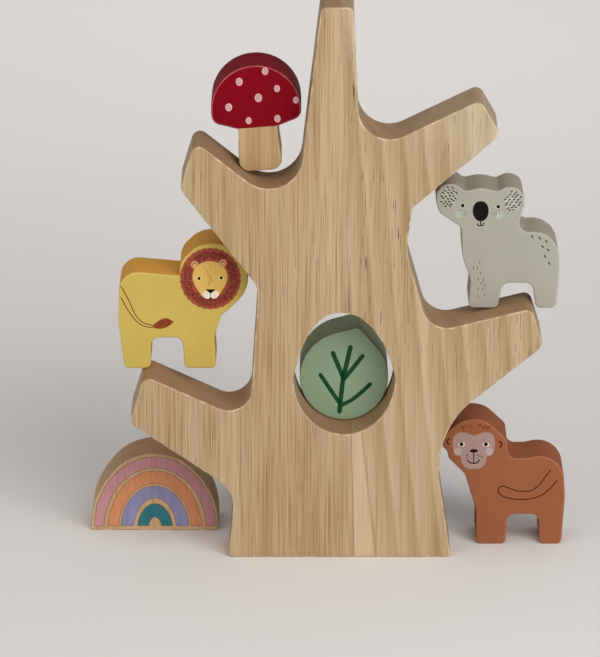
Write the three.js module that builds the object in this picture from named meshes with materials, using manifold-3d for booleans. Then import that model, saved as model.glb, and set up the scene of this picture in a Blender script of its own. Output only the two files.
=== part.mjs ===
// Balancing tree game in wood: a tree plate glued from two boards, and nine loose plates to stack on it.
// Millimetres, +Z up, +X right and +Y away from the player. The tree stands on Z = 0, centred on its base.
import * as THREE from 'three';
import { mergeVertices } from 'three/addons/utils/BufferGeometryUtils.js';
import Module from 'manifold-3d';

// Stock and edges
const treeThickness = 32;
const pieceThickness = 28;
const edgeEase = 0.6; // small chamfer along every sawn edge
const arcTolerance = 0.03; // greatest distance between an arc and its chords

// Tree
const baseWidth = 107;
const crownRise = 72; // from the sharp corner of the upper right crotch to the flat top of the trunk
const glueFilm = 0.1;
const glueFootX = 7.1; // the glue line leans a little from the base to the top
const glueTopX = 0.5;
const holeX = 2.1;
const holeZ = 90;
const holeHalfWidth = 24.1;
const holeAbove = 32;
const holeBelow = 28.1;
const holeTaper = 0.1; // how much the hole draws in on its way up
const holeLean = 1.6; // how far its top lies to the left of its middle

// Rainbow
const rainbowHalfWidth = 31;
const rainbowHeight = 39.3;

// Places of the loose pieces
const restGap = 0.3; // clearance of a piece above what it rests on
const mushroomX = -37.4;
const lionX = -81.5;
const koalaX = 81.1;
const leafX = 3.2;
const monkeyX = 87;
const rainbowX = -89.7;
const crocodileX = -1;
const hedgehogX = -25;
const foxX = 25;
const mushroomLean = 4.5; // degrees that the mushroom leans to the left in its crotch
const mushroomSetback = 15; // setbacks run from the front of the tree to the front of the piece
const lionSetback = 17.5;
const koalaSetback = 15;
const leafSetback = 22;
const monkeySetback = 20;
const rainbowSetback = 41;
const firstRowSetback = 50;
const rowSpacing = 34; // between the two rows of pieces that stand behind the trunk

// Heights that lie over the floor of each crotch and under the branch above it
const upperLeftPocket = 208;
const lowerLeftPocket = 102;
const lowerRightPocket = 132;

// Round parts of the outlines: x, z and radius
const mushroomCap = [0, 30, 21.3];
const lionHead = [21.2, 45.4, 16.6];
const koalaLeftEar = [-28.9, 54.6, 6.6];
const koalaRightEar = [0, 53.3, 6.3];
const leafRound = [-1.1, 21.2, 21.2];

// Corners of part of a regular octagon round a circle, clockwise from one corner to another.
// Corner 0 is the first one above the +X side of the circle, and the numbers go up counter-clockwise.
function disc([x, z, radius], from, to) {
  const corners = [];
  for (let corner = from; corner >= to; corner -= 1) {
    const spoke = new THREE.Vector2(radius / Math.cos(Math.PI / 8), 0);
    spoke.rotateAround(new THREE.Vector2(), (corner + 0.5) * Math.PI / 4);
    corners.push([x + spoke.x, z + spoke.y, radius]);
  }
  return corners;
}

// Outlines are lists of corners: x, z and the radius that rounds the corner.
const upperRightCrotch = [9.3, 198.6, 15];
const crownTop = upperRightCrotch[1] + crownRise;

const treeCorners = [
  [-baseWidth / 2, 0, 2],
  [-50.2, 33, 16],
  [-100.7, 67.5, 5],
  [-93.3, 91.1, 4],
  [-43.2, 68.1, 11],
  [-38.8, 134.5, 10],
  [-75.8, 182.9, 6],
  [-68.6, 206.3, 4],
  [-21.3, 168.7, 16],
  [-9.2, crownTop, 3],
  [6.3, crownTop, 3],
  upperRightCrotch,
  [65.9, 226.1, 4],
  [75.6, 209.3, 5],
  [33.9, 173.3, 6],
  [31.2, 152.5, 40],
  [42.6, 112.3, 12],
  [91, 124.3, 4],
  [96.8, 105.7, 5],
  [47.4, 65.4, 44],
  [47.6, 40, 40],
  [baseWidth / 2, 0, 2],
];

const mushroomCorners = [
  [-10.5, 0, 5],
  [-9.1, 20.8, 0.8],
  [-21.3, 24.8, 4.8],
  ...disc(mushroomCap, 3, 0),
  [21.3, 24.8, 4.8],
  [9.1, 20.8, 0.8],
  [10.5, 0, 5],
];

const lionCorners = [
  [-21.6, 0, 2.5],
  [-24.4, 24, 30],
  [-23.6, 48.6, 9],
  [5.4, 46, 1.5],
  ...disc(lionHead, 3, -2),
  [25, 26.6, 1.5],
  [21.6, 16, 12],
  [22.4, 0, 2.5],
  [7.2, 0, 2.5],
  [6.4, 15.2, 4],
  [-8.8, 15.2, 4],
  [-9, 0, 2.5],
];

const koalaCorners = [
  [-19.9, 0, 2.5],
  [-18.6, 13.6, 12],
  [-22.8, 25, 14],
  [-23.4, 39.8, 4],
  [-33.8, 46.8, 5],
  ...disc(koalaLeftEar, 4, 1),
  [-22, 57.6, 3],
  [-14, 59.4, 14],
  [-6, 57.4, 3],
  ...disc(koalaRightEar, 2, -1),
  [3, 37.2, 4.5],
  [22.4, 38.2, 12],
  [23.4, 20, 30],
  [22.2, 0, 2.5],
  [12.4, 0, 2.5],
  [10.6, 12.4, 4],
  [-3.6, 12.4, 4],
  [-5.8, 0, 2.5],
];

const leafCorners = [
  [6, 46.3, 2.5],
  ...disc(leafRound, 0, -5),
  [-11.9, 41.6, 22],
];

const monkeyCorners = [
  [-20.8, 0, 2.5],
  [-20.8, 17, 12],
  [-26.4, 35.4, 5],
  [-34.3, 43.4, 4],
  [-35, 47, 2],
  [-37.2, 49, 1.8],
  [-36.8, 55, 4],
  [-29.6, 61.4, 14],
  [-22.2, 64, 14],
  [-15.2, 61.4, 10],
  [-6.3, 53, 4],
  [-5.5, 43.4, 4],
  [3, 43.4, 12],
  [20.6, 47.4, 12],
  [22, 24, 30],
  [20.4, 0, 2.5],
  [10, 0, 2.5],
  [9.4, 15, 4],
  [-5.8, 15, 4],
  [-6.6, 0, 2.5],
];

// Half an ellipse, rounded from the four sides of an octagon that lie round its upper half.
const octant = Math.tan(Math.PI / 8);
const rainbowCorners = [
  [-rainbowHalfWidth, 0, 2],
  [-rainbowHalfWidth, octant * rainbowHeight, 38],
  [-octant * rainbowHalfWidth, rainbowHeight, 27],
  [octant * rainbowHalfWidth, rainbowHeight, 27],
  [rainbowHalfWidth, octant * rainbowHeight, 38],
  [rainbowHalfWidth, 0, 2],
];

const hedgehogCorners = [
  [-16, 0, 2.5],
  [-18, 4, 4],
  [-24, 7.6, 2.2],
  [-14, 20, 10],
  [-11, 34, 12],
  [17, 34, 15],
  [22, 8, 12],
  [19, 0, 2.5],
  [9, 0, 2.5],
  [8, 3.2, 2],
  [-5, 3.2, 2],
  [-6, 0, 2.5],
];

const foxCorners = [
  [-18, 0, 2.5],
  [-18, 18, 5],
  [-25, 30, 5],
  [-23, 43, 3],
  [-16, 41, 3.5],
  [-12, 31, 5],
  [1, 31, 3],
  [1.5, 42, 6],
  [4.5, 58, 2],
  [11, 48.5, 4],
  [15, 48.5, 4],
  [21.5, 58, 2],
  [24.5, 42, 7],
  [21, 29, 7],
  [17.5, 22, 6],
  [18, 0, 2.5],
  [6, 0, 2.5],
  [5, 13, 4],
  [-6, 13, 4],
  [-7, 0, 2.5],
];

const crocodileCorners = [
  [-15, 0, 2.5],
  [-17, 7, 3],
  [-31, 8, 3],
  [-32.5, 16, 3],
  [-19, 17.4, 4],
  [-17.4, 24, 3],
  [-9, 24, 3],
  [-7, 19.6, 3],
  [12, 22, 12],
  [33.5, 8, 2],
  [32.5, 3, 2],
  [19, 6.6, 6],
  [17, 0, 2.5],
  [7, 0, 2.5],
  [6, 6.4, 3],
  [-4, 6.4, 3],
  [-5, 0, 2.5],
];

// Points of an outline, with each corner turned into an arc that runs tangent to both its sides.
// Where two arcs would need more than the side between them, both get smaller.
function roundedOutline(corners) {
  const at = (i) => new THREE.Vector2(...corners.at(i % corners.length));
  const bends = corners.map(([, , radius], i) => {
    const toBefore = at(i - 1 + corners.length).sub(at(i));
    const toAfter = at(i + 1).sub(at(i));
    const opening = Math.abs(toBefore.angleTo(toAfter));
    return { toBefore, toAfter, opening, tangent: radius / Math.tan(opening / 2) };
  });
  const points = [];
  bends.forEach(({ toBefore, toAfter, opening, tangent }, i) => {
    const before = toBefore.length() / (tangent + bends.at(i - 1).tangent);
    const after = toAfter.length() / (tangent + bends[(i + 1) % bends.length].tangent);
    const radius = corners[i][2] * Math.min(1, before, after);
    const turn = Math.sign(toBefore.cross(toAfter));
    const middle = toBefore.clone().normalize().add(toAfter.clone().normalize()).normalize();
    const centre = middle.clone().multiplyScalar(radius / Math.sin(opening / 2)).add(at(i));
    const sweep = Math.PI - opening;
    const steps = Math.max(2, Math.ceil(sweep / (2 * Math.acos(1 - arcTolerance / radius))));
    for (let step = 0; step <= steps; step += 1) {
      const spoke = middle.clone().multiplyScalar(-radius);
      const point = spoke.rotateAround(new THREE.Vector2(), turn * sweep * (0.5 - step / steps)).add(centre);
      if (!points.length || point.distanceTo(points.at(-1)) > arcTolerance) {
        points.push(point);
      }
    }
  });
  if (points[0].distanceTo(points.at(-1)) <= arcTolerance) {
    points.pop();
  }
  return points;
}

// Egg-shaped hole: a half ellipse below, and a taller one above that draws in and leans on its way up.
function holeOutline() {
  const steps = 2 * Math.ceil(Math.PI / (2 * Math.acos(1 - arcTolerance / holeAbove)));
  return Array.from({ length: 2 * steps }, (_, i) => {
    const angle = Math.PI * i / steps;
    const across = holeHalfWidth * Math.cos(angle);
    const up = Math.sin(angle);
    if (i >= steps) {
      return new THREE.Vector2(holeX + across, holeZ + holeBelow * up);
    }
    const drawnIn = across * (1 - holeTaper * Math.abs(Math.sin(2 * angle)));
    return new THREE.Vector2(holeX + drawnIn - holeLean * up ** 2, holeZ + holeAbove * up);
  });
}

// Plate cut to an outline, chamfered on both faces. It stands upright with its front face at y = 0.
function plate(outline, thickness, hole) {
  const shape = new THREE.Shape(outline);
  if (hole) {
    shape.holes.push(new THREE.Path(hole));
  }
  const geometry = new THREE.ExtrudeGeometry(shape, {
    depth: thickness - 2 * edgeEase,
    bevelThickness: edgeEase,
    bevelSize: edgeEase,
    bevelOffset: -edgeEase,
    bevelSegments: 1,
  });
  return geometry.rotateX(Math.PI / 2).translate(0, thickness - edgeEase, 0);
}

// Height of a closed outline above or below a given x, as one value for each side that crosses it.
function crossings(outline, x) {
  const heights = [];
  outline.forEach((a, i) => {
    const b = outline[(i + 1) % outline.length];
    if (Math.min(a.x, b.x) <= x && x <= Math.max(a.x, b.x) && a.x !== b.x) {
      heights.push(a.y + (b.y - a.y) * (x - a.x) / (b.x - a.x));
    }
  });
  return heights;
}

// Height at which a piece comes to rest when it is let down at x onto the surfaces below a given height.
function restingHeight(piece, seat, x, ceiling) {
  const lowest = (at) => Math.min(...crossings(piece, at - x));
  const highest = (at) => Math.max(...crossings(seat, at).filter((z) => z < ceiling));
  const left = Math.min(...piece.map((p) => p.x)) + x;
  const right = Math.max(...piece.map((p) => p.x)) + x;
  const corners = [...piece.map((p) => p.x + x), ...seat.map((p) => p.x)];
  const shared = corners.filter((at) => at >= left && at <= right);
  return Math.max(...shared.map((at) => highest(at) - lowest(at))) + restGap;
}

// Two boards parted by the leaning plane of the glue line.
async function treeBoards(geometry) {
  const wasm = await Module();
  wasm.setup();
  geometry.deleteAttribute('normal');
  geometry.deleteAttribute('uv');
  const merged = mergeVertices(geometry, 1e-4);
  const solid = new wasm.Manifold(new wasm.Mesh({
    numProp: 3,
    vertProperties: merged.attributes.position.array,
    triVerts: new Uint32Array(merged.index.array),
  }));
  const slope = (glueTopX - glueFootX) / crownTop;
  const length = Math.hypot(1, slope);
  const normal = [1 / length, 0, -slope / length];
  const offset = glueFootX / length;
  const flipped = normal.map((n) => -n);
  return {
    left: fromManifold(solid.trimByPlane(flipped, glueFilm / 2 - offset)),
    right: fromManifold(solid.trimByPlane(normal, offset + glueFilm / 2)),
  };
}

function fromManifold(solid) {
  const mesh = solid.getMesh();
  const geometry = new THREE.BufferGeometry();
  geometry.setAttribute('position', new THREE.BufferAttribute(mesh.vertProperties, mesh.numProp));
  geometry.setIndex(new THREE.BufferAttribute(mesh.triVerts, 1));
  const flat = geometry.toNonIndexed();
  flat.computeVertexNormals();
  return flat;
}

// Outline turned to the left about the middle of its foot.
function leaning(outline, degrees) {
  const foot = new THREE.Vector2();
  const angle = THREE.MathUtils.degToRad(degrees);
  return outline.map((point) => point.clone().rotateAround(foot, angle));
}

const game = new THREE.Group();
game.name = 'balancing_tree_game';

function add(name, geometry, color, x, y, z) {
  const mesh = new THREE.Mesh(geometry, new THREE.MeshStandardMaterial({ color, roughness: 0.6 }));
  mesh.name = name;
  mesh.position.set(x, y, z);
  game.add(mesh);
}

const treeFront = -treeThickness / 2;
const treeOutline = roundedOutline(treeCorners);
const hole = holeOutline();
const boards = await treeBoards(plate(treeOutline, treeThickness, hole));
add('tree_left_board', boards.left, 0xc3a37b, 0, treeFront, 0);
add('tree_right_board', boards.right, 0xbf9f76, 0, treeFront, 0);

// Pieces seated in the tree: each is let down at its own x onto the surface below the given height.
const mushroomOutline = leaning(roundedOutline(mushroomCorners), mushroomLean);
const seated = [
  ['mushroom', mushroomOutline, 0x8c0f1c, mushroomX, mushroomSetback, treeOutline, upperLeftPocket],
  ['lion', roundedOutline(lionCorners), 0xcbb054, lionX, lionSetback, treeOutline, lowerLeftPocket],
  ['koala', roundedOutline(koalaCorners), 0xb2aea6, koalaX, koalaSetback, treeOutline, lowerRightPocket],
  ['leaf', roundedOutline(leafCorners), 0x839e7b, leafX, leafSetback, hole, holeZ],
];
for (const [name, outline, color, x, setback, seat, ceiling] of seated) {
  const z = restingHeight(outline, seat, x, ceiling);
  add(name, plate(outline, pieceThickness), color, x, treeFront + setback, z);
}

// Pieces that stand beside and behind the tree on the same level
const secondRowSetback = firstRowSetback + rowSpacing;
const standing = [
  ['monkey', monkeyCorners, 0x975535, monkeyX, monkeySetback],
  ['rainbow', rainbowCorners, 0xc2a27a, rainbowX, rainbowSetback],
  ['crocodile', crocodileCorners, 0x5f8a5a, crocodileX, firstRowSetback],
  ['hedgehog', hedgehogCorners, 0x7d5a3f, hedgehogX, secondRowSetback],
  ['fox', foxCorners, 0x7f8fb0, foxX, secondRowSetback],
];
for (const [name, corners, color, x, setback] of standing) {
  add(name, plate(roundedOutline(corners), pieceThickness), color, x, treeFront + setback, 0);
}

export default game;
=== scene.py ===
"""Balancing tree game in wood: the looks of the tree and of its nine loose plates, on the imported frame."""
import math
import random

import bmesh
import bpy
from mathutils import Matrix, Vector


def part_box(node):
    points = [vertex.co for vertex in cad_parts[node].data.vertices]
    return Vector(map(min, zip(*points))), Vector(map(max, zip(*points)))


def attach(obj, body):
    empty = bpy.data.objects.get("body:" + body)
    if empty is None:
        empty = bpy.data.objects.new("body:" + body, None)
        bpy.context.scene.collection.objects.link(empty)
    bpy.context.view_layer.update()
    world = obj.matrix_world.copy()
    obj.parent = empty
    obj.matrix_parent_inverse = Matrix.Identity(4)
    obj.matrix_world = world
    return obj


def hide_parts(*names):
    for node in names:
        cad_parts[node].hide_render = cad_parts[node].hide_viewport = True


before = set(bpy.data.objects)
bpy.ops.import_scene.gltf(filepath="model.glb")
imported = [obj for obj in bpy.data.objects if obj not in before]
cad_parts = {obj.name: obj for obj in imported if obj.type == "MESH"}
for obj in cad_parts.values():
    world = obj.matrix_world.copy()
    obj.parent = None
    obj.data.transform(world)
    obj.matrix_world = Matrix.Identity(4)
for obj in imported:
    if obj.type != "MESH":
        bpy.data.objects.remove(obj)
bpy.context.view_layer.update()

MM = 0.001

# Camera: a long lens in front of the tree, looking a little down on it
LOOK_AT = Vector((-19, -16, 114.5)) * MM
CAMERA_PITCH = math.radians(16.2)
CAMERA_DISTANCE = 2.6
CAMERA_LENS = 300
SENSOR_WIDTH = 36

# Stage
FLOOR_REACH = 4  # from the middle of the floor to its edges, in metres
ROOM_LIGHT = 0.34

# Plates
MERGE_GAP = 1e-6  # points and levels closer than this count as one, in metres
FLAT_ANGLE = math.radians(0.5)  # facets that turn by less than this become one face
SHARP_ANGLE = math.radians(60)  # an edge that turns by more than this is shaded sharp
CHAMFER_ANGLES = (math.radians(30), math.radians(60))  # between these lies the turn at a chamfer's edges
EDGE_ROUND = 0.35 * MM  # how far the rounding reaches from each side of a chamfer's edges
EDGE_SEGMENTS = 3
EDGE_FACING = (0.45, 0.985)  # between these lies the share along Y of the normal of a rounded edge

# Prints
INK_ROOM = 0.08 * MM  # a printed plate's faces are drawn in by this, so that the ink ends at its size
INK_LAYER = 0.016 * MM  # thickness of one pass of ink
INK_ROOT = 0.05 * MM  # how far an ink shape reaches into the paint
TOP_STEP = 0.00005 * MM  # later shapes of one ink end a hair higher, so that no two tops coincide
CURVE_STEPS = 6  # steps between two given points of a smooth line
CAP_STEPS = 6  # steps round the end of a line
ARCH_STEPS = 48
DISC_SIDES = 36

# Wood of the tree, in millimetres
RING_SPACING = 10.5  # growth rings on the face of the right board
RING_START = 12.7
STRIP_FADE = (120, 60)  # going down between these heights, a pale strip comes in next to the glue line
GLUE_FOOT = 7.1  # the glue line's place at the foot of the tree
GLUE_LEAN = 0.0244
SEAM_FOOT = 114  # the dark line of the glue shows between these heights, just above the hole
SEAM_TOP = 138


def colour(red, green, blue):
    """Linear colour with alpha from the usual 0 to 255 numbers."""
    shares = [part / 255 for part in (red, green, blue)]
    return [s / 12.92 if s <= 0.04045 else ((s + 0.055) / 1.055) ** 2.4 for s in shares] + [1]


def scaled(tint, share, lift=0):
    """A colour whose parts are multiplied by a share and lifted a little."""
    return [part * share + lift for part in tint[:3]] + [1]


# Pale tone of the rounded edges: worn wood with a painted highlight
WORN_AND_HIGHLIT_WOOD = colour(232, 206, 168)
# Paler, cooler tone of painted light on the tip of the upper right branch
PAINTED_LIGHT_WOOD = colour(216, 202, 180)
# Darker tone of surfaces that face up: partly the end grain's own colour, partly painted shade
END_GRAIN_AND_SHADE_WOOD = colour(148, 92, 52)


# Finishes

class Value:
    """A shader socket that takes part in sums."""

    def __init__(self, finish, socket):
        self.finish = finish
        self.socket = socket

    def maths(self, operation, *terms):
        return self.finish.node("ShaderNodeMath", {"operation": operation}, dict(enumerate(terms)))

    def absolute(self):
        return self.maths("ABSOLUTE", self)

    def fraction(self):
        return self.maths("FRACT", self)

    def __add__(self, other):
        return self.maths("ADD", self, other)

    def __radd__(self, other):
        return self.maths("ADD", other, self)

    def __sub__(self, other):
        return self.maths("SUBTRACT", self, other)

    def __rsub__(self, other):
        return self.maths("SUBTRACT", other, self)

    def __mul__(self, other):
        return self.maths("MULTIPLY", self, other)

    def __rmul__(self, other):
        return self.maths("MULTIPLY", other, self)


class Finish:
    """A material made of nodes round one Principled shader, with its pattern in millimetres."""

    def __init__(self, name):
        self.material = bpy.data.materials.new(name)
        self.material.use_nodes = True
        self.nodes = self.material.node_tree.nodes
        self.links = self.material.node_tree.links
        self.shader = self.nodes["Principled BSDF"]
        place = self.node("ShaderNodeTexCoord", {}, {}, "Object")
        self.place = self.node("ShaderNodeMapping", {}, {"Vector": place, "Scale": (1 / MM,) * 3})

    def node(self, kind, settings, inputs, output=0):
        """Any node: its settings come first, then the values or links of its sockets."""
        made = self.nodes.new(kind)
        for name, value in settings.items():
            setattr(made, name, value)
        for name, value in inputs.items():
            self.feed(made.inputs[name], value)
        return Value(self, made.outputs[output])

    def feed(self, socket, value):
        if isinstance(value, Value):
            self.links.new(value.socket, socket)
        else:
            socket.default_value = value

    def set(self, **inputs):
        """Feeds the shader; Base_Color stands for the socket Base Color."""
        for name, value in inputs.items():
            self.feed(self.shader.inputs[name.replace("_", " ")], value)

    def noise(self, width, length, detail=2, offset=0):
        """Noise from 0 to 1 whose features have a width across the grain and a length along it."""
        stretched = self.node(
            "ShaderNodeVectorMath", {"operation": "MULTIPLY_ADD"},
            {0: self.place, 1: (1 / width, 1 / width, 1 / length), 2: (offset, offset, offset)})
        return self.node("ShaderNodeTexNoise", {}, {"Vector": stretched, "Scale": 1, "Detail": detail}, "Fac")

    def rise(self, value, low, high):
        """0 below low, 1 above high and smooth between them."""
        return self.node(
            "ShaderNodeMapRange", {"interpolation_type": "SMOOTHSTEP"},
            {"Value": value, "From Min": low, "From Max": high})

    def mix(self, share, first, second):
        return self.node(
            "ShaderNodeMix", {"data_type": "RGBA"}, {0: share, 6: first, 7: second}, 2)

    def bump(self, height, distance):
        made = self.node("ShaderNodeBump", {}, {"Height": height, "Strength": 1, "Distance": distance})
        self.feed(self.shader.inputs["Normal"], made)

    def edges(self):
        """1 on the rounded edges of a plate and 0 elsewhere."""
        return self.node("ShaderNodeAttribute", {"attribute_name": "edge"}, {}, "Fac")

    def facing(self, axis, low, high):
        """0 where the surface faces away from an axis, and 1 where it faces along it."""
        normal = self.node("ShaderNodeNewGeometry", {}, {}, "Normal")
        along = self.node("ShaderNodeSeparateXYZ", {}, {"Vector": normal}, axis)
        return self.rise(along.absolute(), low, high)

    def along(self, direction):
        """How far a place lies along a direction, in millimetres."""
        return self.node(
            "ShaderNodeVectorMath", {"operation": "DOT_PRODUCT"}, {0: self.place, 1: direction}, "Value")

    def growth_rings(self, warp):
        """Tone of growth rings that lean to the left going up: each is pale at its start and darkens to its
        end. Next to the glue line, below the hole, runs a strip that is paler than all of them."""
        count = (self.along((1, 0.3, 0.1)) + warp - RING_START) * (1 / RING_SPACING)
        ring = count.fraction()
        strip = self.rise(count, 0.06, -0.06) * self.rise(self.along((0, 0, 1)), *STRIP_FADE)
        return (1 - strip) * ((1 - ring) * self.rise(ring, 0, 0.2) - 0.5) + 0.9 * strip

    def seam(self):
        """1 on the thin dark line of the glue, which shows just above the hole, and 0 elsewhere."""
        aside = self.along((1, 0, GLUE_LEAN)) - GLUE_FOOT
        near = self.rise(aside.absolute(), 0.5, 0.15)
        height = self.along((0, 0, 1))
        return near * self.rise(height, SEAM_FOOT, SEAM_FOOT + 4) * self.rise(height, SEAM_TOP, SEAM_TOP - 12)


def wood(name, pale, deep, pore, offset, ribbon, band, fleck, clear=-1, rings=0, glue=0):
    """Bare oiled wood with upright grain. Ribbon, band, fleck, rings and glue say how strongly those marks
    show, and the flecks are left out below the height clear, in millimetres. With the rings goes painted
    light: a paler, cooler tone at the tip of the upper right branch."""
    finish = Finish(name)
    ends = finish.facing("Z", 0.1, 0.85)
    streaks = finish.noise(1.1, 100, 3, offset)
    threads = finish.noise(0.5, 60, 2, offset + 3)
    lines = finish.rise(finish.noise(0.46, 40, 1, offset + 37), 0.54, 0.66)
    zones = finish.noise(11, 200, 2, offset + 7)
    sway = (finish.noise(60, 160, 1, offset + 29) - 0.5) * 6
    warp = sway + (finish.noise(9, 30, 2, offset + 43) - 0.5) * 1.5
    stripes = (streaks - 0.5) * 0.5 + (threads - 0.5) * 0.8 - (lines - 0.3) * 0.32
    figure = stripes * ribbon + (zones - 0.5) * band + finish.growth_rings(warp) * rings
    tone = finish.rise(figure * (1 - 0.5 * ends), -0.45, 0.45)
    # Painted light: the tip of the upper right branch turns paler and cooler
    lit_branch_tip = finish.rise(finish.along((0.75, 0, 0.66)), 152, 186)
    dashes = finish.rise(finish.noise(0.4, 14, 0, offset + 11), 0.68, 0.73)
    scarce = finish.rise(finish.noise(5, 30, 1, offset + 17), 0.5, 0.62)
    above = finish.rise(finish.along((0, 0, 1)), clear, clear + 30)
    pores = dashes * (0.3 + 0.7 * scarce) * above * (1 - ends) * fleck
    grain = finish.mix(tone, deep, pale)
    marked = finish.mix(glue * finish.seam(), finish.mix(pores, grain, pore), pore)
    with_painted_light = finish.mix(rings * lit_branch_tip, marked, PAINTED_LIGHT_WOOD)
    # Surfaces that face up turn darker: partly end grain, partly painted shade
    end_grain_and_shade = finish.mix(0.36 * ends, with_painted_light, END_GRAIN_AND_SHADE_WOOD)
    # The rounded edges turn paler: partly wear, partly a painted highlight
    worn_and_highlit = finish.edges() * (0.1 + 0.6 * finish.rise(finish.noise(4, 7, 3, offset + 23), 0.4, 0.7))
    finish.set(
        Base_Color=finish.mix(worn_and_highlit, end_grain_and_shade, WORN_AND_HIGHLIT_WOOD),
        Roughness=0.56 + 0.14 * pores - 0.06 * tone,
        Specular_IOR_Level=0.2)
    finish.bump(threads * 0.5 - pores, 0.06 * MM)
    return finish.material


def paint(name, body, worn_and_highlit_tint, wear_and_highlight=0.5, side=(1, 0.92, 0.84)):
    """Satin paint on wood: the grain shows faintly through it, and it is paler along the edges, partly from
    wear and partly as a painted highlight. Its sawn sides are given painted shade in a deeper, warmer colour."""
    finish = Finish(name)
    grain = finish.noise(1.1, 30)
    cloud = finish.noise(18, 24)
    shaded = finish.mix(finish.rise(0.8 * cloud + 0.2 * grain, 0.3, 0.7), scaled(body, 0.95), body)
    # Painted shade: the sawn sides get a deeper, warmer colour
    side_shade = [part * share for part, share in zip(body, side)] + [1]
    with_side_shade = finish.mix(finish.facing("Y", 0.6, 0.2), shaded, side_shade)
    # The edges turn paler, partly from wear and partly as a painted highlight; this noise breaks up the band
    broken = finish.rise(finish.noise(2.2, 2.6, 3, 5), 0.25, 0.75)
    finish.set(
        Base_Color=finish.mix(wear_and_highlight * finish.edges() * (0.4 + 0.6 * broken), with_side_shade, worn_and_highlit_tint),
        Roughness=0.55 + 0.12 * grain,
        Specular_IOR_Level=0.08)
    finish.bump(grain + 0.3 * broken, 0.05 * MM)
    return finish.material


def ink(name, body, grain=0.05):
    """Printed ink: a matt film, a little uneven, with some of the wood's upright grain showing in it."""
    finish = Finish(name)
    speckle = finish.noise(0.45, 0.6, 2)
    cloud = finish.noise(6, 8)
    threads = finish.noise(0.9, 26, 3, 9)
    thin = scaled(body, 1 + 2.4 * grain, 0.003)
    thick = scaled(body, 1 - 2.4 * grain)
    uneven = finish.rise(0.25 * speckle + 0.25 * cloud + 0.5 * threads, 0.34, 0.66)
    finish.set(
        Base_Color=finish.mix(uneven, thick, thin),
        Roughness=0.6 + 0.15 * speckle,
        Specular_IOR_Level=0.06)
    finish.bump(speckle, 0.01 * MM)
    return finish.material


# Plates

def plate_of(node, printed):
    """A copy of a node as one clean skin with rounded edges. A printed plate leaves room for its ink."""
    bm = bmesh.new()
    bm.from_mesh(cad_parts[node].data)
    bmesh.ops.remove_doubles(bm, verts=bm.verts, dist=MERGE_GAP)
    bmesh.ops.dissolve_limit(bm, angle_limit=FLAT_ANGLE, verts=bm.verts, edges=bm.edges)
    low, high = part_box(node)
    if printed:
        for face_y, inward in ((low.y, INK_ROOM), (high.y, -INK_ROOM)):
            face_verts = [v for v in bm.verts if abs(v.co.y - face_y) < MERGE_GAP]
            bmesh.ops.translate(bm, verts=face_verts, vec=(0, inward, 0))
    rims = [e for e in bm.edges if is_rim(e)]
    bmesh.ops.bevel(
        bm, geom=rims, offset=EDGE_ROUND, offset_type="OFFSET", segments=EDGE_SEGMENTS, profile=0.5,
        affect="EDGES", material=-1)
    edge = bm.faces.layers.float.new("edge")
    for face in bm.faces:
        face.smooth = True
        face[edge] = EDGE_FACING[0] < abs(face.normal.y) < EDGE_FACING[1]
    for e in bm.edges:
        e.smooth = e.calc_face_angle() < SHARP_ANGLE
    return bm


def is_rim(edge):
    """True for an edge along the rim of a plate's chamfer."""
    level = abs(edge.verts[0].co.y - edge.verts[1].co.y) < MERGE_GAP
    return level and CHAMFER_ANGLES[0] < edge.calc_face_angle() < CHAMFER_ANGLES[1]


def add_piece(name, bm, finishes, body):
    mesh = bpy.data.meshes.new(name)
    bm.to_mesh(mesh)
    bm.free()
    for finish in finishes:
        mesh.materials.append(finish)
    piece = bpy.data.objects.new(name, mesh)
    bpy.context.scene.collection.objects.link(piece)
    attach(piece, body)
    return piece


def add_plate(node, bm, finishes, body):
    """The visible plate that stands for a node."""
    piece = add_piece(node + "_plate", bm, finishes, body)
    even = piece.modifiers.new("even_shading", "WEIGHTED_NORMAL")
    even.keep_sharp = True
    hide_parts(node)


def add_painted_plate(node, finish):
    """The painted plate of a loose piece, whose body has its node's name."""
    add_plate(node, plate_of(node, True), [finish], node)


# Prints

def smooth_line(points, closed=False):
    """Points of a smooth curve through the given ones."""
    knots = [Vector(p) for p in points]
    count = len(knots)
    line = []
    for i in range(count if closed else count - 1):
        near = [i + k if not closed else (i + k) % count for k in (-1, 0, 1, 2)]
        a, b, c, d = (knots[max(0, min(count - 1, k))] for k in near)
        for step in range(CURVE_STEPS):
            t = step / CURVE_STEPS
            line.append(
                b + 0.5 * t * (c - a + t * (2 * a - 5 * b + 4 * c - d + t * (3 * (b - c) + d - a))))
    return line if closed else line + [knots[-1]]


def mirrored(half, x):
    """A closed outline from its right half, which starts and ends near the line of symmetry at x."""
    right = [(x + across, z) for across, z in half]
    left = [(x - across, z) for across, z in reversed(half) if across]
    return right + left


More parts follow.
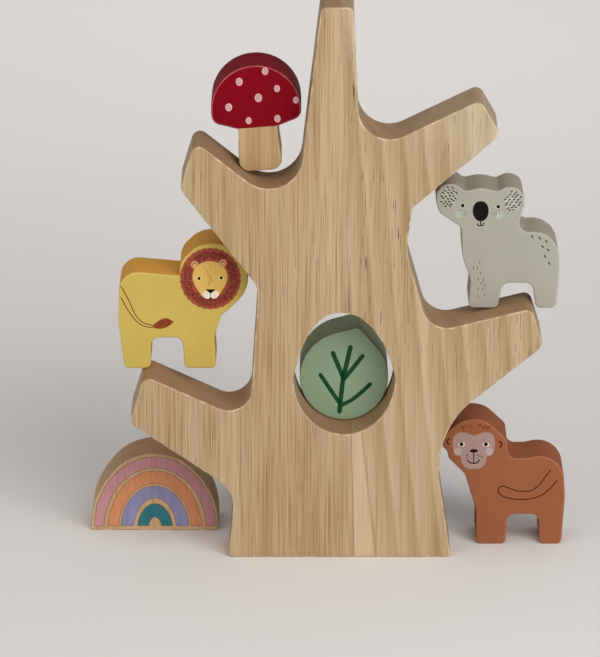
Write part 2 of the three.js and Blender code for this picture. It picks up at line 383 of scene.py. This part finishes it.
class Print:
    """One ink on both faces of a loose piece's plate. Shapes are in millimetres from a point on the plate,
    which is itself given from the plate's left side and foot."""

    def __init__(self, node, layer, x=0, z=0):
        self.node = node
        self.low, self.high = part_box(node)
        self.origin = self.low + Vector((x, 0, z)) * MM
        self.top = self.low.y + INK_ROOM - layer * INK_LAYER
        self.bm = bmesh.new()

    def shape(self, points):
        """A flat shape with the given outline."""
        ring = [
            self.bm.verts.new((self.origin.x + x * MM, self.top, self.origin.z + z * MM)) for x, z in points]
        face = self.bm.faces.new(ring)
        root = bmesh.ops.extrude_face_region(self.bm, geom=[face])["geom"]
        depth = self.low.y + INK_ROOM + INK_ROOT - self.top
        bmesh.ops.translate(
            self.bm, verts=[v for v in root if isinstance(v, bmesh.types.BMVert)], vec=(0, depth, 0))
        self.top -= TOP_STEP

    def blob(self, points):
        """A shape whose outline runs smoothly through the given points."""
        self.shape(smooth_line(points, closed=True))

    def disc(self, x, z, across, up=None, lean=0):
        """An ellipse, leaning to the left by an angle in degrees."""
        up = up or across
        turn = Matrix.Rotation(math.radians(lean), 2)
        angles = [2 * math.pi * i / DISC_SIDES for i in range(DISC_SIDES)]
        ring = [turn @ Vector((across * math.cos(a), up * math.sin(a))) for a in angles]
        self.shape([(x + p.x, z + p.y) for p in ring])

    def stroke(self, points, width):
        """A line of even width, with round ends, that runs smoothly through the given points."""
        line = smooth_line(points)
        sides = [[], []]
        for i, point in enumerate(line):
            along = (line[min(i + 1, len(line) - 1)] - line[max(i - 1, 0)]).normalized()
            across = Vector((-along.y, along.x)) * width / 2
            sides[0].append(point + across)
            sides[1].append(point - across)
        end = self.cap(line[-1], sides[0][-1])
        start = self.cap(line[0], sides[1][0])
        self.shape(sides[0] + end + sides[1][::-1] + start)

    def cap(self, centre, start):
        """Points of the half circle that closes a line, clockwise from one of its sides."""
        spoke = start - centre
        return [centre + Matrix.Rotation(-math.pi * k / CAP_STEPS, 2) @ spoke for k in range(1, CAP_STEPS)]

    def dash(self, x, z, angle, length, width):
        """A short tapered mark at an angle in degrees from the horizontal."""
        along = Vector((math.cos(math.radians(angle)), math.sin(math.radians(angle)))) * length / 2
        across = Vector((-along.y, along.x)).normalized() * width / 2
        centre = Vector((x, z))
        self.shape([
            centre - along, centre - 0.4 * along - across, centre + 0.4 * along - across,
            centre + along, centre + 0.4 * along + across, centre - 0.4 * along + across])

    def add(self, name, finish):
        """Repeats the shapes on the back of the plate and adds them as one piece."""
        bm = self.bm
        to_middle = Matrix.Translation((0, -(self.low.y + self.high.y) / 2, 0))
        bmesh.ops.mirror(bm, geom=bm.verts[:] + bm.edges[:] + bm.faces[:], matrix=to_middle, axis="Y")
        bmesh.ops.recalc_face_normals(bm, faces=bm.faces)
        add_piece(self.node + "_" + name, bm, [finish], self.node)


BLACK_INK = ink("black_ink", colour(20, 16, 13))
WHITE_INK = ink("white_ink", colour(232, 218, 198))


def add_tree():
    left = wood(
        "left_board_wood", colour(192, 167, 133), colour(150, 117, 79), colour(104, 70, 42),
        offset=0, ribbon=1.15, band=0.8, fleck=0.35, clear=-40, glue=0.8)
    right = wood(
        "right_board_wood", colour(199, 176, 142), colour(151, 120, 81), colour(88, 46, 16),
        offset=31, ribbon=0.55, band=0.6, fleck=0.9, clear=70, rings=0.3, glue=0.8)
    add_plate("tree_left_board", plate_of("tree_left_board", False), [left], "tree")
    add_plate("tree_right_board", plate_of("tree_right_board", False), [right], "tree")


def add_mushroom():
    lean = math.radians(4.5)
    bare = wood(
        "mushroom_stem_wood", colour(204, 174, 132), colour(160, 122, 82), colour(120, 82, 50),
        offset=57, ribbon=0.7, band=1.2, fleck=0.4)
    # The cap's edges turn pale pink: partly worn paint, partly a painted highlight
    red = paint("mushroom_red_paint", colour(126, 0, 20), colour(206, 122, 116), 0.6)
    bm = plate_of("mushroom", True)
    stem_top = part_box("mushroom")[0] + Vector((22.2, 0, 21.6)) * MM
    upward = Vector((-math.sin(lean), 0, math.cos(lean)))
    bmesh.ops.bisect_plane(
        bm, geom=bm.verts[:] + bm.edges[:] + bm.faces[:], plane_co=stem_top, plane_no=upward)
    for face in bm.faces:
        face.material_index = (face.calc_center_bounds() - stem_top).dot(upward) > 0
    add_plate("mushroom", bm, [bare, red], "mushroom")
    rings = Print("mushroom", 1)
    dots = Print("mushroom", 2)
    for x, z, across in (
            (13.4, 43.7, 1.6), (31.2, 40.4, 1.4), (22.4, 35.9, 1.7), (8.4, 31.3, 1.6), (40.1, 34.8, 1.35),
            (17.8, 24.8, 1.4), (31.4, 25.8, 1.5), (25.6, 48.8, 1.5)):
        rings.disc(x, z, across, across * 1.2)
        dots.disc(x, z, across * 0.76, across * 0.92)
    rings.add("dot_rings", ink("mushroom_ring_ink", colour(222, 172, 176)))
    dots.add("dots", ink("mushroom_dot_ink", colour(188, 150, 150)))


def add_lion():
    draws = random.Random(3)
    # side gives the sawn sides painted shade, deeper and more orange
    yellow = paint("lion_yellow_paint", colour(200, 174, 89), colour(224, 202, 128), side=(1.25, 0.86, 0.56))
    add_painted_plate("lion", yellow)
    head = (44.1, 44.7)
    ears = ((-7.5, 6.8, 25), (5.9, 7.6, -25))
    eyes = ((-5.4, 0.1), (5.2, 0.4))
    mane_across = 14.6
    mane_up = 15.3
    hair_reach = 14.5
    mane = Print("lion", 1, *head)
    scallops = 30
    steps = scallops * 6
    ring = []
    for i in range(steps):
        angle = 2 * math.pi * i / steps
        bulge = 0.975 + 0.025 * abs(math.sin(angle * scallops / 2))
        ring.append((mane_across * bulge * math.cos(angle), mane_up * bulge * math.sin(angle)))
    mane.shape(ring)
    mane.add("mane", ink("lion_mane_ink", colour(154, 76, 58)))
    tuft = Print("lion", 1)
    tuft.blob([
        (16.4, 20.9), (19.2, 23.8), (22.8, 25.1), (25.6, 23.9), (26.3, 23.1), (23.6, 20.8), (19.5, 19.7)])
    tuft.add("tail_tuft", ink("lion_tuft_ink", colour(138, 66, 36)))
    hair = Print("lion", 2, *head)
    for rays, nearest, furthest in ((120, 0.66, 0.76), (140, 0.8, 0.88)):
        for ray in range(rays):
            angle = 360 * (ray + draws.uniform(-0.3, 0.3)) / rays
            reach = hair_reach * draws.uniform(nearest, furthest)
            across = reach * math.cos(math.radians(angle))
            up = 1.05 * reach * math.sin(math.radians(angle))
            turned = angle + draws.uniform(-8, 8)
            length = draws.uniform(1.9, 3.4)
            if min(math.hypot(across - x, up - z) for x, z, lean in ears) > 2.6:
                hair.dash(across, up, turned, length, 0.34)
    hair.add("mane_lines", ink("lion_mane_line_ink", colour(102, 40, 28)))
    lines = Print("lion", 2)
    for speck in range(18):
        lines.dash(draws.uniform(18.8, 24.6), draws.uniform(21.2, 23.8), draws.uniform(0, 40), 1.2, 0.26)
    lines.stroke([(1.4, 40.8), (2.8, 38.4), (5.3, 33.4), (8.1, 27.0), (11.3, 23.2), (16.4, 21.4)], 0.45)
    lines.stroke([(1.4, 35.2), (2.7, 32.7), (4.9, 28.6), (8.7, 23.5), (12.1, 21.2), (16.4, 20.3)], 0.45)
    lines.add("tail_lines", ink("lion_line_ink", colour(98, 52, 18)))
    rim = Print("lion", 2, *head)
    for x, z, lean in ears:
        rim.disc(x, z, 1.55, 1.8, lean)
    rim.add("ear_rims", ink("lion_ear_rim_ink", colour(232, 196, 140)))
    hollow = Print("lion", 3, *head)
    for x, z, lean in ears:
        hollow.disc(x, z, 1.15, 1.4, lean)
    hollow.add("ear_hollows", ink("lion_ear_ink", colour(164, 92, 60)))
    face = Print("lion", 3, *head)
    face.blob(mirrored(
        [(0, 8.6), (4.4, 7.5), (7.4, 4.6), (8.35, 0.8), (7.5, -2.6), (5.7, -5.9), (3.8, -8.6), (2, -9.6)],
        -0.2))
    face.add("face", ink("lion_face_ink", colour(214, 174, 94), 0.015))
    inside = Print("lion", 4, *head)
    for x, z, lean in ears:
        inside.disc(x, z - 0.25, 0.62, 0.85, lean)
    inside.add("ear_insides", ink("lion_ear_gold_ink", colour(222, 178, 110)))
    freckles = Print("lion", 4, *head)
    freckle_count = 84
    for row in range(freckle_count):
        share = row / freckle_count
        across = draws.uniform(-1, 1) * (3.1 - 2.3 * share) - 0.2
        freckles.dash(across, 7.8 - 11 * share, 90 + 8 * across, draws.uniform(0.5, 0.9), 0.22)
    freckles.add("freckles", ink("lion_freckle_ink", colour(174, 124, 56)))
    halo = Print("lion", 4, *head)
    for x, z in eyes:
        halo.disc(x, z, 1.1)
    halo.add("eye_rings", ink("lion_eye_ring_ink", colour(236, 210, 150)))
    pale = Print("lion", 4, *head)
    pale.disc(-1.8, -8.1, 2.1, 1.75, -38)
    pale.disc(2, -8, 2.1, 1.75, 38)
    pale.add("muzzle", WHITE_INK)
    black = Print("lion", 5, *head)
    for x, z in eyes:
        black.disc(x, z, 0.74, 0.84)
    black.blob([
        (-2.1, -5.4), (-1.1, -5.25), (0.1, -5.25), (1.3, -5.25), (2.3, -5.4), (1.3, -6.4), (0.1, -7.3),
        (-1.1, -6.4)])
    black.stroke([(0.1, -7.2), (0.1, -9.4)], 0.28)
    black.disc(0.1, -9.7, 0.55, 0.34)
    black.add("features", BLACK_INK)


def add_koala():
    draws = random.Random(5)
    grey = paint("koala_grey_paint", colour(168, 164, 152), colour(196, 192, 180))
    add_painted_plate("koala", grey)
    ears = ((5.9, 54.7, 146), (36.5, 52.8, 28))
    eyes = ((12.6, 50.6), (29.5, 50.1))
    centre = 21.2
    tint = Print("koala", 1)
    for x, z, lean in ears:
        tint.disc(x, z, 3.7, 5.1, -8)
    tint.add("ear_insides", ink("koala_ear_ink", colour(178, 178, 166)))
    cheeks = Print("koala", 1)
    for x, z in ((11.2, 46.4), (30.4, 45.8)):
        cheeks.disc(x, z, 2.15, 1.85)
    cheeks.add("cheeks", ink("koala_cheek_ink", colour(172, 177, 164)))
    halo = Print("koala", 1)
    for x, z in eyes:
        halo.disc(x, z, 1.3)
    halo.add("eye_rings", ink("koala_pale_ink", colour(188, 184, 172)))
    black = Print("koala", 2)
    black.blob(mirrored([(0, 52.8), (2.3, 52.0), (3.6, 49.6), (3.6, 46.4), (2.2, 43.8), (0, 42.9)], centre))
    for x, z in eyes:
        black.disc(x, z, 0.86, 0.92)
    black.stroke([(centre, 43.2), (centre, 40.9)], 0.55)
    black.stroke([(19.6, 41.6), (20.2, 40.8), (centre, 40.9), (22.1, 40.8), (22.8, 41.9)], 0.55)
    for x, z, lean in ears:
        for row in range(8):
            for column in range(4):
                across = (column - 1.75 + 0.5 * (row % 2)) * 2
                up = (row - 3.5) * 1.3
                if (across / 3.9) ** 2 + (up / 5.1) ** 2 < 1:
                    black.dash(
                        x + across + draws.uniform(-0.3, 0.3), z + up + draws.uniform(-0.3, 0.3),
                        lean + draws.uniform(-14, 14), draws.uniform(1.4, 1.8), 0.64)
    for x, z in ((13.4, 47.1), (28.1, 47.1)):
        for speck in range(14):
            black.disc(x + draws.uniform(-2.1, 2.1), z + draws.uniform(-1.6, 1.6), 0.17)
    legs = Print("koala", 1)
    for x, z in (
            (18.1, 19.9), (19.9, 19.7), (20.9, 22.6), (21.5, 17.4), (20.3, 14.4), (22.9, 14.0), (21.9, 12.3),
            (23.5, 11.3), (20.3, 9.4), (22.5, 9.6), (20.3, 5.7), (23.5, 6.7)):
        legs.dash(x, z, 90 + draws.uniform(-14, 14), 2.2, 0.4)
    for x, z in (
            (45.8, 35.4), (49.4, 34.6), (52.6, 33.0), (50.8, 30.4), (53.4, 28.8), (52.0, 25.6), (54.0, 22.2)):
        black.dash(x, z, 125 + draws.uniform(-14, 14), 2, 0.6)
    black.add("features", BLACK_INK)
    legs.add("leg_marks", ink("koala_mark_ink", colour(104, 97, 92)))


def add_leaf():
    green = paint("leaf_green_paint", colour(144, 167, 138), colour(186, 202, 172))
    add_painted_plate("leaf", green)
    veins = Print("leaf", 1)
    veins.stroke([(19.1, 4.4), (20.3, 16.6), (21.2, 22.6), (24.3, 36.4)], 2.3)
    veins.stroke([(20.9, 21.1), (15.9, 33.6)], 2.2)
    veins.stroke([(21.6, 21.0), (30.1, 32.1)], 2.1)
    veins.stroke([(18.6, 9.3), (9.9, 22.7)], 2)
    veins.stroke([(19.8, 7.4), (24.9, 10.1), (29.7, 14.0), (33.8, 18.1)], 2)
    veins.add("veins", ink("leaf_vein_ink", colour(26, 74, 44)))


def add_monkey():
    draws = random.Random(8)
    brown = paint("monkey_brown_paint", colour(152, 92, 62), colour(184, 128, 94))
    add_painted_plate("monkey", brown)
    nose = (14.9, 47.2)
    eyes = (-6.0, 5.8)
    patch = Print("monkey", 1, *nose)
    patch.blob(mirrored(
        [(0, 7.7), (2.0, 8.5), (4.9, 9.4), (8.0, 8.9), (9.9, 6.6), (10.2, 3.4), (9.7, 0), (8.4, -2.2),
         (6.4, -2.7), (6.0, -5.1), (4.5, -7.8), (2.2, -8.9)], 0))
    patch.add("face", ink("monkey_face_ink", colour(166, 137, 130), 0.012))
    cheeks = Print("monkey", 2, *nose)
    for x in (-7.6, 7.3):
        cheeks.disc(x, -0.2, 1.95, 1.9)
    cheeks.add("cheeks", ink("monkey_cheek_ink", colour(182, 160, 157), 0.012))
    whites = Print("monkey", 3, *nose)
    for x in eyes:
        whites.disc(x + 0.1, 3.3, 1.55, 1.2)
    whites.add("eye_whites", ink("monkey_eye_ink", colour(230, 220, 212), 0.02))
    black = Print("monkey", 4, *nose)
    for x in eyes:
        black.disc(x, 3.4, 0.95, 1.05)
    black.disc(0, 0.1, 1.9, 0.9)
    black.stroke([(0, -0.5), (0, -6.0)], 0.46)
    black.stroke([(-2.9, -4.6), (-1.8, -5.8), (0, -6.2), (1.7, -5.8), (2.7, -4.6)], 0.6)
    for x in (-2.5, 2.7):
        for speck in range(15):
            black.disc(x + draws.uniform(-1.4, 1.4), -2.9 + draws.uniform(-1.3, 1.3), 0.16)
    black.add("features", BLACK_INK)
    lines = Print("monkey", 1, *nose)
    lines.stroke([(-12.1, 6.1), (-13.1, 4.9), (-12.1, 3.5)], 0.7)
    lines.stroke([(12.4, 4.7), (13.1, 4.2), (13.35, 3.4), (13.1, 2.6), (12.6, 2.0)], 0.7)
    brows = Print("monkey", 1, *nose)
    for x, z, lean in (
            (-5.7, 12.1, 50), (-5.1, 11.3, 100), (-4.2, 12.4, 80), (-1.8, 12.5, 90), (2.4, 12.9, 20),
            (3.2, 13.0, 140), (4.4, 11.8, 110), (5.3, 11.9, 70), (6.6, 11.4, 105), (7.2, 11.9, 60)):
        brows.dash(x, z, lean, 1.4, 0.5)
    brows.add("brows", ink("monkey_brow_ink", colour(88, 40, 20)))
    lines.stroke(
        [(37.0, -9.6), (35.4, -12.0), (32.4, -16.3), (29.4, -19.1), (26.8, -20.3), (20.8, -20.1),
         (17.3, -18.8), (14.1, -17.8), (12.1, -19.0), (12.3, -21.2), (13.7, -22.6), (16.5, -23.7),
         (21.2, -24.5), (27.7, -24.2), (32.4, -22.6), (35.7, -20.3), (38.4, -17.4), (40.2, -14.9)], 0.52)
    lines.add("lines", ink("monkey_line_ink", colour(64, 26, 14)))


def add_rainbow():
    bare = wood(
        "rainbow_wood", colour(206, 174, 134), colour(172, 136, 98), colour(120, 84, 54),
        offset=83, ribbon=0.8, band=0.7, fleck=0.4)
    add_plate("rainbow", plate_of("rainbow", True), [bare], "rainbow")
    low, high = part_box("rainbow")
    centre = (high.x - low.x) / 2 / MM
    foot = 2.5
    line = 0.22
    bands = (
        ("pink", 29.8, 37.5, 25.2, 32.0, colour(190, 136, 142)),
        ("orange", 22.7, 30.3, 17.9, 24.1, colour(206, 138, 98)),
        ("lilac", 16.7, 22.6, 10.6, 16.7, colour(138, 136, 172)),
        ("teal", 8.6, 13.6, 3.4, 7.0, colour(54, 114, 124)))
    outlines = Print("rainbow", 1, centre)
    for name, outer_x, outer_z, inner_x, inner_z, tint in bands:
        outlines.shape(arch(outer_x + line, outer_z + line, inner_x - line, inner_z - line, foot - line))
        band = Print("rainbow", 2, centre)
        band.shape(arch(outer_x, outer_z, inner_x, inner_z, foot))
        band.add(name + "_band", ink("rainbow_" + name + "_ink", tint))
    outlines.add("band_lines", ink("rainbow_line_ink", colour(122, 84, 54), 0.09))


def arch(outer_x, outer_z, inner_x, inner_z, foot):
    """Outline of an arch between two half ellipses about the same point, cut off level above that point."""
    points = []
    for across, up, turn in ((outer_x, outer_z, 1), (inner_x, inner_z, -1)):
        start = math.asin(foot / up)
        angles = [start + (math.pi - 2 * start) * i / ARCH_STEPS for i in range(ARCH_STEPS + 1)][::turn]
        points += [(across * math.cos(a), up * math.sin(a)) for a in angles]
    return points


def add_crocodile():
    draws = random.Random(12)
    green = paint("crocodile_green_paint", colour(96, 138, 92), colour(146, 180, 136))
    add_painted_plate("crocodile", green)
    pale = Print("crocodile", 1)
    pale.disc(19.0, 20.2, 1.9, 2.1)
    for tooth in range(5):
        x = 3.6 + 2.5 * tooth
        pale.shape([(x - 0.8, 11.7), (x + 0.8, 11.8), (x, 10.3)])
    pale.add("eye_and_teeth", WHITE_INK)
    dark = Print("crocodile", 2)
    dark.disc(18.7, 20.2, 0.95, 1.1)
    dark.stroke([(1.6, 11.8), (8.0, 11.9), (14.6, 12.2), (17.2, 13.4)], 0.4)
    dark.disc(3.0, 14.9, 0.5)
    for row in range(3):
        for column in range(12):
            x = 25.4 + 2.7 * column + 1.3 * (row % 2)
            z = 16.8 - 2.9 * row - max(0, x - 44) * 0.42
            dark.dash(x, z + draws.uniform(-0.3, 0.3), 100 + draws.uniform(-15, 15), 1.3, 0.4)
    dark.add("features", BLACK_INK)


def add_hedgehog():
    draws = random.Random(16)
    brown = paint("hedgehog_brown_paint", colour(134, 98, 70), colour(172, 138, 108))
    add_painted_plate("hedgehog", brown)
    face = Print("hedgehog", 1)
    face.blob([
        (1.6, 7.8), (4.2, 10.6), (7.2, 14.0), (9.8, 17.2), (12.6, 18.2), (14.6, 15.2), (14.8, 10.6),
        (13.6, 6.4), (10.8, 4.4), (7.2, 4.4), (3.4, 6.2)])
    face.add("face", WHITE_INK)
    cheek = Print("hedgehog", 2)
    cheek.disc(11.4, 8.6, 1.5, 1.3)
    cheek.add("cheek", ink("hedgehog_cheek_ink", colour(206, 150, 138)))
    dark = Print("hedgehog", 2)
    dark.disc(2.4, 7.7, 0.85, 0.75)
    dark.disc(8.6, 12.0, 0.75, 0.85)
    dark.stroke([(4.2, 6.7), (5.8, 6.4), (7.2, 7.2)], 0.3)
    for row in range(6):
        for column in range(9):
            reach = 9.5 + 3.1 * column
            angle = 12 + 27 * row + 9 * (column % 2)
            x = 14.5 + reach * math.cos(math.radians(angle))
            z = 8 + 0.84 * reach * math.sin(math.radians(angle))
            on_back = ((x - 24) / 18.5) ** 2 + ((z - 10) / 21.5) ** 2 < 1
            behind_face = x > 15.8 - 0.2 * (z - 12)
            if on_back and behind_face:
                dark.dash(x, z, angle * 0.75 + draws.uniform(-10, 10), 1.9, 0.36)
    dark.add("features", BLACK_INK)


def add_fox():
    draws = random.Random(20)
    blue = paint("fox_blue_paint", colour(132, 146, 178), colour(176, 188, 210))
    add_painted_plate("fox", blue)
    centre = 37.7
    white = Print("fox", 1)
    white.blob(mirrored([(0, 39.4), (3.4, 40.6), (7.2, 38.6), (7.6, 35.2), (4.6, 32.2), (1.4, 31.0)], centre))
    white.blob(mirrored([(0, 28.6), (3.6, 27.2), (4.6, 22.6), (3.0, 17.4), (1.0, 15.0)], centre - 1.2))
    white.blob([(2.8, 40.4), (5.4, 38.0), (7.8, 37.8), (7.2, 40.2), (4.6, 41.4)])
    white.add("face_and_bib", WHITE_INK)
    dark = Print("fox", 2)
    for side in (-1, 1):
        dark.disc(centre + 4.4 * side, 41.4, 0.8, 0.95)
        dark.blob([
            (centre + 7.9 * side, 53.2), (centre + 9.2 * side, 48.4), (centre + 7.0 * side, 47.6),
            (centre + 6.2 * side, 49.8)])
    dark.blob([(centre - 1.5, 37.0), (centre, 37.4), (centre + 1.5, 37.0), (centre, 35.5)])
    dark.stroke([(centre, 35.6), (centre, 34.0)], 0.32)
    mouth = ((-1.8, 34.4), (-0.9, 33.7), (0, 34.1), (0.9, 33.7), (1.8, 34.4))
    dark.stroke([(centre + across, z) for across, z in mouth], 0.34)
    for row in range(5):
        for column in range(4):
            x = 12.2 + 3.9 * column + 1.9 * (row % 2) + draws.uniform(-0.4, 0.4)
            dark.dash(x, 27.2 - 2.8 * row, 100, 1.3, 0.32)
    dark.add("features", ink("fox_line_ink", colour(48, 54, 78)))


# Stage

def add_camera():
    data = bpy.data.cameras.new("photo_camera")
    data.lens = CAMERA_LENS
    data.sensor_width = SENSOR_WIDTH
    camera = bpy.data.objects.new("photo_camera", data)
    camera.rotation_euler = (math.pi / 2 - CAMERA_PITCH, 0, 0)
    camera.location = LOOK_AT + CAMERA_DISTANCE * Vector((0, -math.cos(CAMERA_PITCH), math.sin(CAMERA_PITCH)))
    bpy.context.scene.collection.objects.link(camera)
    bpy.context.scene.camera = camera


def add_light(name, place, target, size, power, tint, spread=180):
    """A square soft box that faces a target and lights a cone of the given angle in degrees. Places and size
    are in metres."""
    data = bpy.data.lights.new(name, "AREA")
    data.size = size
    data.energy = power
    data.color = tint
    data.spread = math.radians(spread)
    light = bpy.data.objects.new(name, data)
    light.location = place
    light.rotation_euler = (Vector(target) - Vector(place)).to_track_quat("-Z", "Y").to_euler()
    bpy.context.scene.collection.objects.link(light)


def add_stage():
    bm = bmesh.new()
    bmesh.ops.create_grid(bm, x_segments=1, y_segments=1, size=FLOOR_REACH)
    mesh = bpy.data.meshes.new("floor")
    bm.to_mesh(mesh)
    bm.free()
    floor = bpy.data.objects.new("floor", mesh)
    bpy.context.scene.collection.objects.link(floor)
    finish = Finish("floor_paper")
    cloud = finish.noise(300, 300)
    finish.set(
        Base_Color=finish.mix(cloud, colour(238, 235, 232), colour(243, 240, 237)),
        Roughness=0.8 + 0.1 * cloud)
    mesh.materials.append(finish.material)
    add_light("key", (0.75, -1.7, 1.15), LOOK_AT, 1.3, 24, (1, 0.99, 0.965))
    add_light("window", (0.75, -0.75, 0.85), LOOK_AT, 0.6, 2.6, (0.8, 0.91, 1))
    add_light("fill", (-1.2, -1.3, 0.8), LOOK_AT, 1.4, 7, (1, 0.98, 0.96))
    add_light("backdrop", (0, 1.25, 1.2), (0, 1.25, 0), 1.2, 2.3, (1, 0.98, 1), spread=90)
    world = bpy.data.worlds.new("studio")
    world.use_nodes = True
    background = world.node_tree.nodes["Background"]
    background.inputs["Color"].default_value = (1, 0.98, 0.955, 1)
    background.inputs["Strength"].default_value = ROOM_LIGHT
    bpy.context.scene.world = world
    bpy.context.scene.view_settings.view_transform = "Standard"


add_camera()
add_tree()
add_mushroom()
add_lion()
add_koala()
add_leaf()
add_monkey()
add_rainbow()
add_crocodile()
add_hedgehog()
add_fox()
add_stage()
